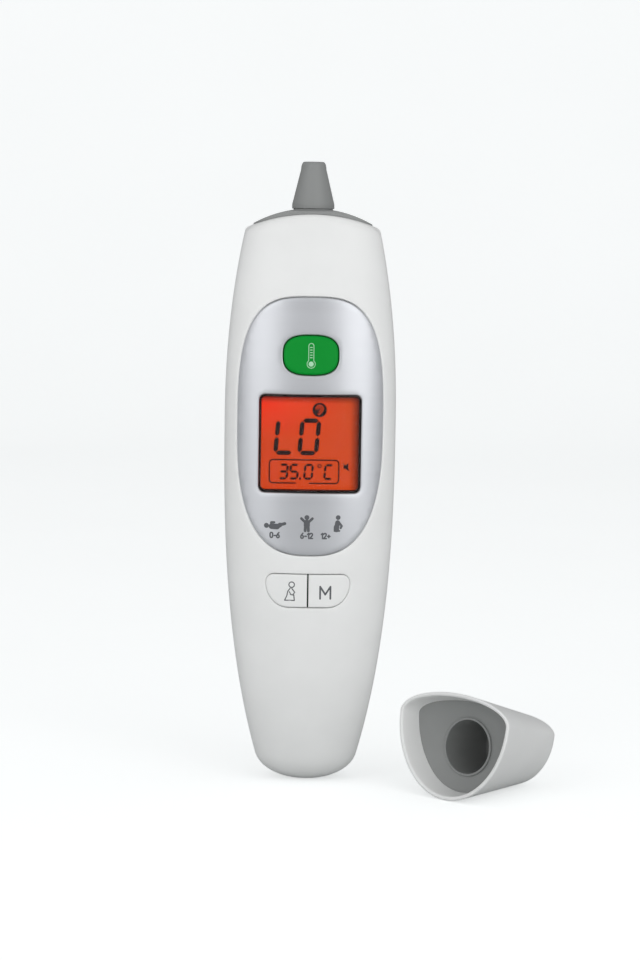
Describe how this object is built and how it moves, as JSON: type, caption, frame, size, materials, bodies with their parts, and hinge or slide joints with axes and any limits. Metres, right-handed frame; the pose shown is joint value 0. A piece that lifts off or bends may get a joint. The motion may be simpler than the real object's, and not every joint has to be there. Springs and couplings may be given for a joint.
{
  "type": "ear thermometer",
  "caption": "Hand-held infrared ear thermometer with a conical probe, a lit display in a silver faceplate, push buttons, a sliding battery door and a loose probe cap.",
  "frame": {"origin": "middle of the small flat on the tail end, on the probe's axis", "axes": "+Z along the probe's axis out of the nozzle, -Y out of the display, +X to the right of a person facing the display"},
  "size_m": [0.0832, 0.05, 0.1546],
  "materials": {
    "white_shell": "satin gloss white, fine moulded texture",
    "silver_plate": "satin silver, brushed from side to side",
    "clear_pane": "clear and glossy",
    "black_rubber": "matt black",
    "display_glass": "lit red orange",
    "white_inner": "matt off-white",
    "light_diode": "lit lens",
    "green_board": "green solder mask",
    "steel": "nickel plated",
    "black_plastic": "matt black",
    "grey_plastic": "satin mid grey",
    "infrared_window": "dark coated",
    "gold_tube": "gold plated inside",
    "sensor_metal": "machined",
    "lead_insulation": "coloured insulation",
    "cell_jacket": "plain printed jacket",
    "foam": "open foam",
    "green_button": "glossy green"
  },
  "bodies": {
    "housing": {"front_shell": "white_shell", "rear_shell": "white_shell", "faceplate": "silver_plate", "display_window": "clear_pane", "window_gasket": "black_rubber", "zebra_strips": "black_rubber", "nozzle_seal": "black_rubber", "lcd_panel": "display_glass", "lcd_holder": "white_inner", "backlight_plate": "white_inner", "battery_tray": "white_inner", "backlight_leds": "light_diode", "main_board": "green_board", "sensor_board": "green_board", "board_screws": "steel", "housing_screws": "steel", "battery_springs": "steel", "battery_contacts": "steel", "sensor_can": "steel", "control_chip": "black_plastic", "board_components": "black_plastic", "buzzer": "black_plastic", "scan_switch": "black_plastic", "key_switches": "black_plastic", "probe_collar": "grey_plastic", "probe_nozzle": "grey_plastic", "probe_window": "infrared_window", "waveguide": "gold_tube", "sensor_block": "sensor_metal", "sensor_leads": "lead_insulation", "battery_left": "cell_jacket", "battery_right": "cell_jacket"},
    "scan_button": {"scan_button": "green_button", "scan_switch_stem": "white_inner"},
    "mode_button": {"mode_key": "white_shell", "mode_switch_stem": "white_inner"},
    "memory_button": {"memory_key": "white_shell", "memory_switch_stem": "white_inner"},
    "cell_door": {"battery_door": "white_shell", "door_foam_pad": "foam"},
    "cap": {"cap_shell": "white_shell", "cap_liner": "grey_plastic"}
  },
  "joints": [
    {"name": "scan_press", "type": "slide", "parent": "housing", "child": "scan_button", "axis": [0, 1, 0], "range_m": [0, 0.0006], "stiffness_N_per_m": 400, "springref_m": -0.001},
    {"name": "mode_press", "type": "slide", "parent": "housing", "child": "mode_button", "axis": [0, 1, 0], "range_m": [0, 0.0004], "stiffness_N_per_m": 400, "springref_m": -0.001},
    {"name": "memory_press", "type": "slide", "parent": "housing", "child": "memory_button", "axis": [0, 1, 0], "range_m": [0, 0.0004], "stiffness_N_per_m": 400, "springref_m": -0.001},
    {"name": "cell_door_slide", "type": "slide", "parent": "housing", "child": "cell_door", "axis": [0, 0, -1], "range_m": [0, 0.06]},
    {"name": "cap_slide", "type": "slide", "parent": "housing", "child": "cap", "axis": [0.6561, 0.7547, 0], "range_m": [0, 0.03]}
  ]
}
